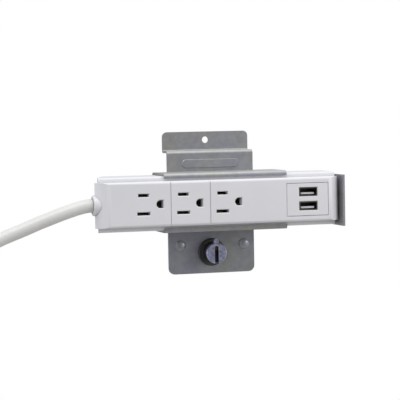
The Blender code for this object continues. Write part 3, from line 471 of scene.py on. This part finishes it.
def make_cord():
    """The whole cord as one tube: its lead, its coil and the short end that hangs into the plug."""
    tail = [Vector((PLUG_X, COIL_CENTRE.y, z)) for z in TAIL_HEIGHTS]
    points = [Vector(p) for p in LEAD_ROUTE] + coil_points() + tail
    curve = bpy.data.curves.new("mains_cord", "CURVE")
    curve.dimensions = "3D"
    curve.bevel_depth = CORD_DIAMETER / 2
    curve.bevel_resolution = 8
    curve.resolution_u = 5
    curve.use_fill_caps = True
    spline = curve.splines.new("BEZIER")
    spline.bezier_points.add(len(points) - 1)
    for slot, point in zip(spline.bezier_points, points):
        slot.co = point
        slot.handle_left_type = slot.handle_right_type = "AUTO"
    curve.materials.append(MATERIALS["cord_jacket"])
    cord = bpy.data.objects.new("mains_cord", curve)
    bpy.context.scene.collection.objects.link(cord)
    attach(cord, "strip")
    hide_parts("cord_lead", "cord_coil", "cord_tail")
    return cord


def plug_ring(x, y, z, half_x, near, far, power=4.0, steps=48):
    """A rounded rectangle at height z: half_x to each side of x, from near to far across y."""
    middle, half_y = y + (near + far) / 2, (far - near) / 2
    ring = []
    for k in range(steps):
        c, s = math.cos(2 * math.pi * k / steps), math.sin(2 * math.pi * k / steps)
        ring.append((x + half_x * math.copysign(abs(c) ** (2 / power), c),
                     middle + half_y * math.copysign(abs(s) ** (2 / power), s), z))
    return ring


def make_plug():
    """The moulded plug: a crowned body with finger ridges below a ribbed, tapered strain relief."""
    x, y = PLUG_X, COIL_CENTRE.y
    low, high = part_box("plug_body")
    face = low.z
    shape = ((0.0000, 0.0118, 0.94), (0.0006, 0.0124, 0.98), (0.0016, 0.0127, 1.0), (0.0080, 0.0127, 1.0),
             (0.0105, 0.0122, 0.98), (0.0118, 0.0116, 0.97), (0.0131, 0.0117, 0.97), (0.0144, 0.0109, 0.96),
             (0.0157, 0.0110, 0.96), (0.0170, 0.0103, 0.95), (0.0183, 0.0104, 0.95), (0.0205, 0.0096, 0.94),
             (0.0232, 0.0089, 0.90), (0.0248, 0.0076, 0.80), (0.0254, 0.0062, 0.66))
    rings = []
    for up, half_x, depth in shape:
        taper = 1.0 - 0.30 * min(1.0, max(0.0, (up - 0.008) / 0.014))
        rings.append(plug_ring(x, y, face + up, half_x, -0.0107 * depth * (0.35 + 0.65 * taper),
                               0.0119 * depth * (0.25 + 0.75 * taper)))
    body = add_piece("plug_moulding", loft_rings(rings), "strip", "cord_jacket")
    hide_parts("plug_body")

    ribs, rise = 8, 0.0024
    start = face + 0.0236
    profile = []
    for k in range(ribs):
        radius = 0.0084 - 0.0028 * k / (ribs - 1)
        z = start + k * (high.z - start) / ribs
        profile += [(radius, z), (radius, z + rise * 0.70), (radius - 0.0009, z + rise * 0.82),
                    (radius - 0.0009, z + rise * 1.04)]
    profile += [(0.0056, high.z - 0.0008), (0.0051, high.z)]
    angles = [2 * math.pi * k / 32 for k in range(32)]
    rings = [[(x + r * math.cos(a), y + r * math.sin(a), z) for a in angles] for r, z in profile]
    relief = add_piece("plug_strain_relief", loft_rings(rings), "strip", "cord_jacket")
    bevel = relief.modifiers.new("soft_ribs", "BEVEL")
    bevel.width, bevel.segments, bevel.limit_method = 0.00018, 2, "ANGLE"
    return body, relief


def strap_path(inset, steps=6):
    """The tie's loop in the YZ plane, from its rounded box moved in by inset."""
    low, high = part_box("cord_tie")
    radius = 0.0030 - inset
    y0, y1, z0, z1 = low.y + inset, high.y - inset, low.z + inset, high.z - inset
    corners = ((y1 - radius, z1 - radius, 0), (y0 + radius, z1 - radius, 90),
               (y0 + radius, z0 + radius, 180), (y1 - radius, z0 + radius, 270))
    return [(y + radius * math.cos(math.radians(start + 90 * k / steps)),
             z + radius * math.sin(math.radians(start + 90 * k / steps)))
            for y, z, start in corners for k in range(steps + 1)]


def make_tie():
    """The strap, with bound edges, and its free end pressed down over the front."""
    low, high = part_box("cord_tie")
    x, half = (low.x + high.x) / 2, (high.x - low.x) / 2
    outer, inner = strap_path(0.0), strap_path(0.0010)
    bm = bmesh.new()
    columns = []
    for (yo, zo), (yi, zi) in zip(outer, inner):
        mid_y, mid_z = (yo + yi) / 2, (zo + zi) / 2
        around = ((-half, mid_y, mid_z), (0.0006 - half, yo, zo), (half - 0.0006, yo, zo),
                  (half, mid_y, mid_z), (half - 0.0006, yi, zi), (0.0006 - half, yi, zi))
        columns.append([bm.verts.new((x + dx, y, z)) for dx, y, z in around])
    for first, second in zip(columns, columns[1:] + columns[:1]):
        for i in range(6):
            bm.faces.new((first[i], first[(i + 1) % 6], second[(i + 1) % 6], second[i]))
    bmesh.ops.recalc_face_normals(bm, faces=bm.faces)
    strap = add_piece("tie_strap", bm, "strip", "tie_fabric")
    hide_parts("cord_tie")

    rings = []
    for k in range(9):
        z = high.z - 0.0035 - k * 0.0015
        lift = 0.00005 + 0.0009 * (k / 8) ** 3
        width = (half - 0.0010) * (1.0 if k < 7 else math.sqrt(1.0 - ((k - 6) / 3.2) ** 2))
        rings.append([(x - width, low.y - lift, z), (x + width, low.y - lift, z),
                      (x + width, low.y - lift - 0.0008, z), (x - width, low.y - lift - 0.0008, z)])
    end = add_piece("tie_free_end", loft_rings(rings), "strip", "tie_fabric")
    return strap, end


cord = make_cord()
ON_CORD = [*make_plug(), *make_tie()]
ON_CORD += [PIECES[node] for node in ("plug_blade_hot", "plug_blade_neutral", "plug_pin_earth")]

# ---------------------------------------------------------------- studio

AROUND, FROM_SIDES, FROM_ABOVE = 0.02, 1.04, 0.84    # strength of the surround
FLOOR_HALF, FLOOR_Z = 6.0, -2.6    # low enough for a camera below the part to be above it


def area_light(name, at, towards, power, size, colour):
    data = bpy.data.lights.new(name, "AREA")
    data.energy = power
    data.color = colour
    data.shape = "RECTANGLE"
    data.size, data.size_y = size
    made = bpy.data.objects.new(name, data)
    made.location = at
    made.rotation_euler = (Vector(towards) - Vector(at)).to_track_quat("-Z", "Y").to_euler()
    bpy.context.scene.collection.objects.link(made)


def make_world():
    """White behind everything, and a surround that is brightest above and at the sides, like a light tent."""
    world = bpy.data.worlds.new("studio")
    world.use_nodes = True
    tree = world.node_tree

    def node(kind, **settings):
        made = tree.nodes.new("ShaderNode" + kind)
        for key, value in settings.items():
            setattr(made, key, value)
        return made

    def scaled(source, factor, added):
        made = node("Math", operation="MULTIPLY_ADD")
        tree.links.new(source, made.inputs[0])
        made.inputs[1].default_value = factor
        if isinstance(added, float):
            made.inputs[2].default_value = added
        else:
            tree.links.new(added, made.inputs[2])
        return made.outputs[0]

    split = node("SeparateXYZ")
    tree.links.new(node("TexCoord").outputs["Generated"], split.inputs["Vector"])
    sideways = node("Math", operation="ABSOLUTE")
    tree.links.new(split.outputs["X"], sideways.inputs[0])
    upwards = node("Math", operation="MAXIMUM")
    upwards.inputs[1].default_value = 0.0
    tree.links.new(split.outputs["Z"], upwards.inputs[0])
    soft = node("Background")
    soft.inputs["Color"].default_value = (0.965, 0.975, 1.0, 1.0)
    level = scaled(upwards.outputs[0], FROM_ABOVE, scaled(sideways.outputs[0], FROM_SIDES, AROUND))
    tree.links.new(level, soft.inputs["Strength"])
    seen = tree.nodes["Background"]
    seen.inputs["Color"].default_value = (1.0, 1.0, 1.0, 1.0)
    choose = node("MixShader")
    tree.links.new(node("LightPath").outputs["Is Camera Ray"], choose.inputs["Fac"])
    tree.links.new(soft.outputs["Background"], choose.inputs[1])
    tree.links.new(seen.outputs["Background"], choose.inputs[2])
    tree.links.new(choose.outputs["Shader"], tree.nodes["World Output"].inputs["Surface"])
    bpy.context.scene.world = world


def make_floor():
    """The plain pale floor, far below the part, which hangs on a wall."""
    bm = bmesh.new()
    bmesh.ops.create_grid(bm, x_segments=8, y_segments=8, size=FLOOR_HALF)
    mesh = bpy.data.meshes.new("floor")
    bm.to_mesh(mesh)
    bm.free()
    pale = Shader("floor", Roughness=0.9, Specular_IOR_Level=0.2)
    pale.colour(pale.ramp(pale.noise(4.0), ((0.3, (0.49, 0.475, 0.445)), (0.7, (0.51, 0.495, 0.465)))))
    mesh.materials.append(pale.material)
    floor = bpy.data.objects.new("floor", mesh)
    floor.location = (0.0, 0.0, FLOOR_Z)
    bpy.context.scene.collection.objects.link(floor)


bpy.context.scene.view_settings.view_transform = "Standard"
make_world()
make_floor()
area_light("key", (-0.25, -0.55, 1.25), (0, 0, 0), 7.5, (0.9, 0.4), (1.0, 0.98, 0.93))
area_light("right", (1.05, -1.05, 0.35), (0, 0, 0), 4.0, (0.5, 0.5), (1.0, 0.985, 0.96))
